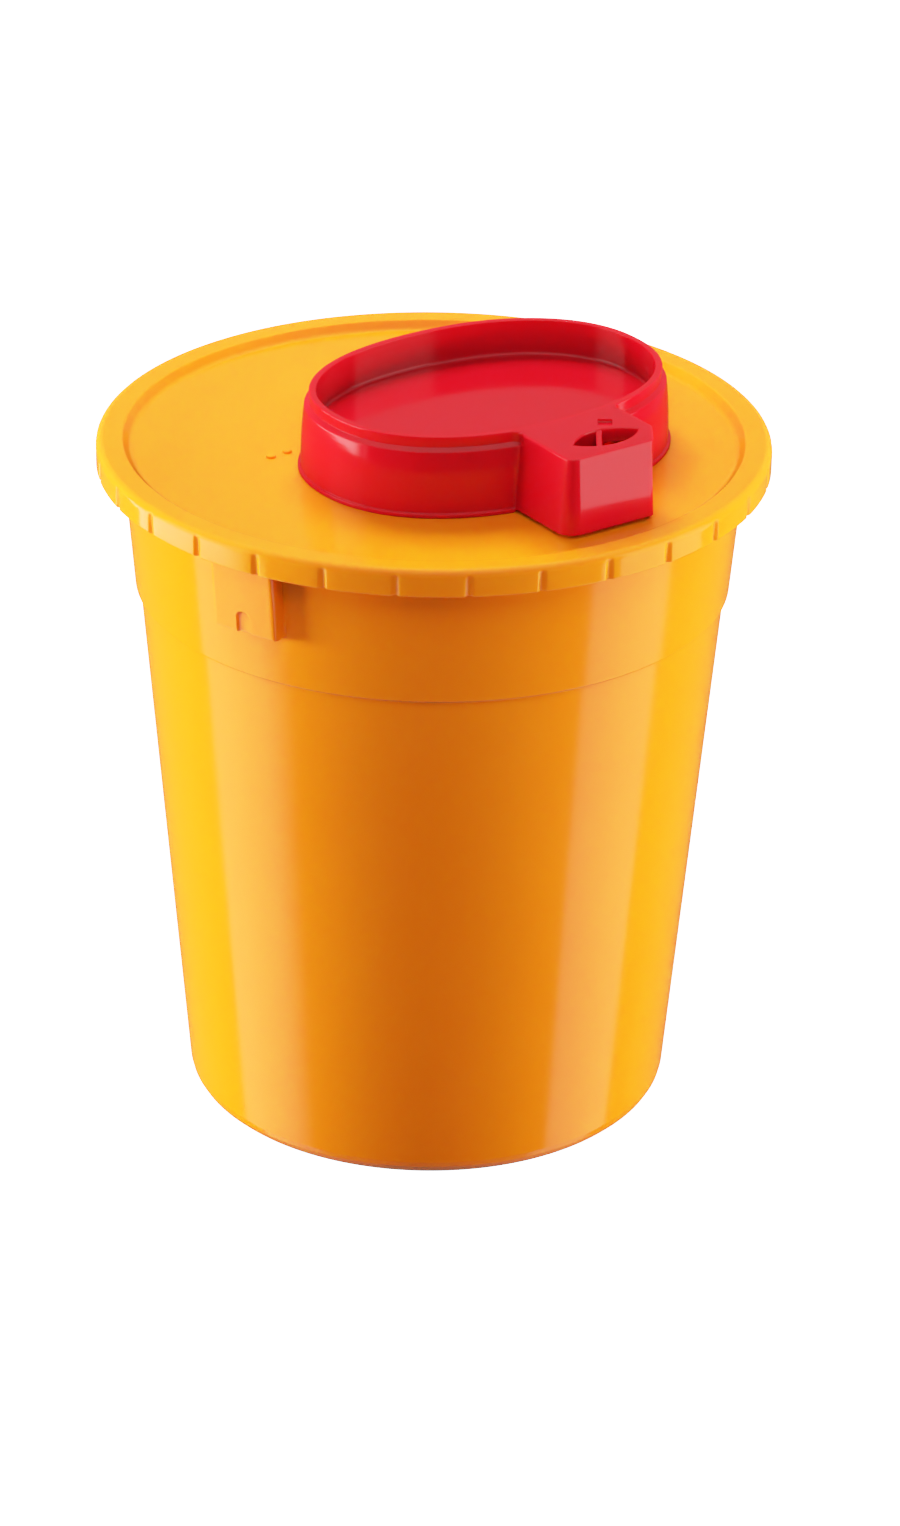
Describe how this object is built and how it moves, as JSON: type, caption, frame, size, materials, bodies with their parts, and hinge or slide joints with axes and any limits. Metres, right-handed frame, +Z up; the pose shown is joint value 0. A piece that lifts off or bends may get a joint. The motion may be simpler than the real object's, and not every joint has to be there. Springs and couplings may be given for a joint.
{
  "type": "sharps container",
  "caption": "Round tapered plastic bucket for used sharps, with a press-on segmented lid and an oval press-on cap with a needle-remover beak.",
  "frame": {"origin": "centre of the base, on the surface it stands on", "axes": "+Z up along the bucket's axis, +X right and -Y front, so the cap's beak points to the front right"},
  "size_m": [0.224, 0.224, 0.261],
  "materials": {
    "body_plastic": "glossy, slightly translucent orange-yellow polypropylene",
    "lid_plastic": "glossy, slightly translucent orange-yellow polypropylene",
    "cap_plastic": "glossy red polypropylene"
  },
  "bodies": {
    "container_body": {"container_body": "body_plastic"},
    "lid": {"lid": "lid_plastic"},
    "cap": {"cap": "cap_plastic"}
  },
  "joints": [
    {"name": "lid_lift", "type": "slide", "parent": "container_body", "child": "lid", "axis": [0, 0, 1], "range_m": [0, 0.06]},
    {"name": "cap_lift", "type": "slide", "parent": "lid", "child": "cap", "axis": [0, 0, 1], "range_m": [0, 0.06]}
  ]
}
